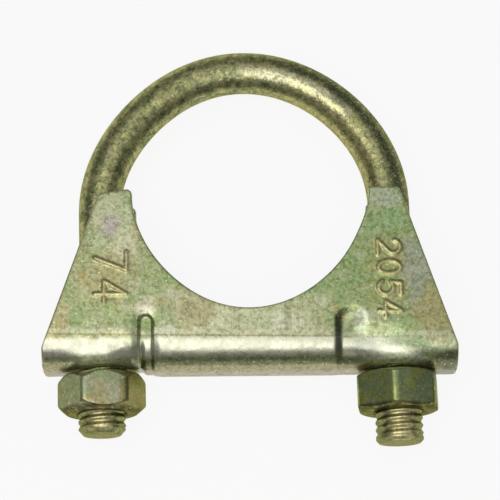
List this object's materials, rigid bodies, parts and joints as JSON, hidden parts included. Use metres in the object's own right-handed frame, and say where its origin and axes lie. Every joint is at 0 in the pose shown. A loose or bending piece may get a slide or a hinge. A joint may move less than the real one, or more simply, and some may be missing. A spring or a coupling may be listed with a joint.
{
  "type": "u-bolt clamp",
  "caption": "U-bolt exhaust clamp: a bent round bar with threaded legs, a folded and pressed steel saddle with a half-round pipe seat, and hexagon nuts.",
  "frame": {"origin": "centre of the pipe seat, on the pipe's axis, midway between the two cheeks", "axes": "+Z along the pipe's axis and up, with the clamp lying on its back; +X across the clamp from leg to leg; +Y up the legs towards the crown of the U-bolt"},
  "size_m": [0.0688, 0.0686, 0.015],
  "materials": {
    "saddle_plate": "yellow passivated zinc on pressed sheet steel, satin with a greenish iridescence",
    "bolt_bar": "yellow passivated zinc on a rough drawn bar, darker olive brown",
    "nuts": "yellow passivated zinc on turned and pressed steel, grey green"
  },
  "bodies": {
    "saddle": {"saddle": "saddle_plate"},
    "u_bolt": {"u_bolt": "bolt_bar"},
    "nut_left": {"nut_left": "nuts"},
    "nut_right": {"nut_right": "nuts"}
  },
  "joints": [
    {"name": "u_bolt_draw", "type": "slide", "parent": "saddle", "child": "u_bolt", "axis": [0.0236, -0.9997, 0], "range_m": [-0.0025, 0.01]},
    {"name": "nut_left_turn", "type": "hinge", "parent": "saddle", "child": "nut_left", "pos_m": [-0.0247, -0.03325, 0], "axis": [-0.0236, 0.9997, 0], "range_deg": [-721, 2881]},
    {"name": "nut_right_turn", "type": "hinge", "parent": "saddle", "child": "nut_right", "pos_m": [0.02451, -0.03325, 0], "axis": [-0.0236, 0.9997, 0], "range_deg": [-721, 2881]}
  ],
  "couplings": [
    {"joint": "nut_left_turn", "follows": "u_bolt_draw", "rad_per_m": 5026.5},
    {"joint": "nut_right_turn", "follows": "u_bolt_draw", "rad_per_m": 5026.5}
  ]
}
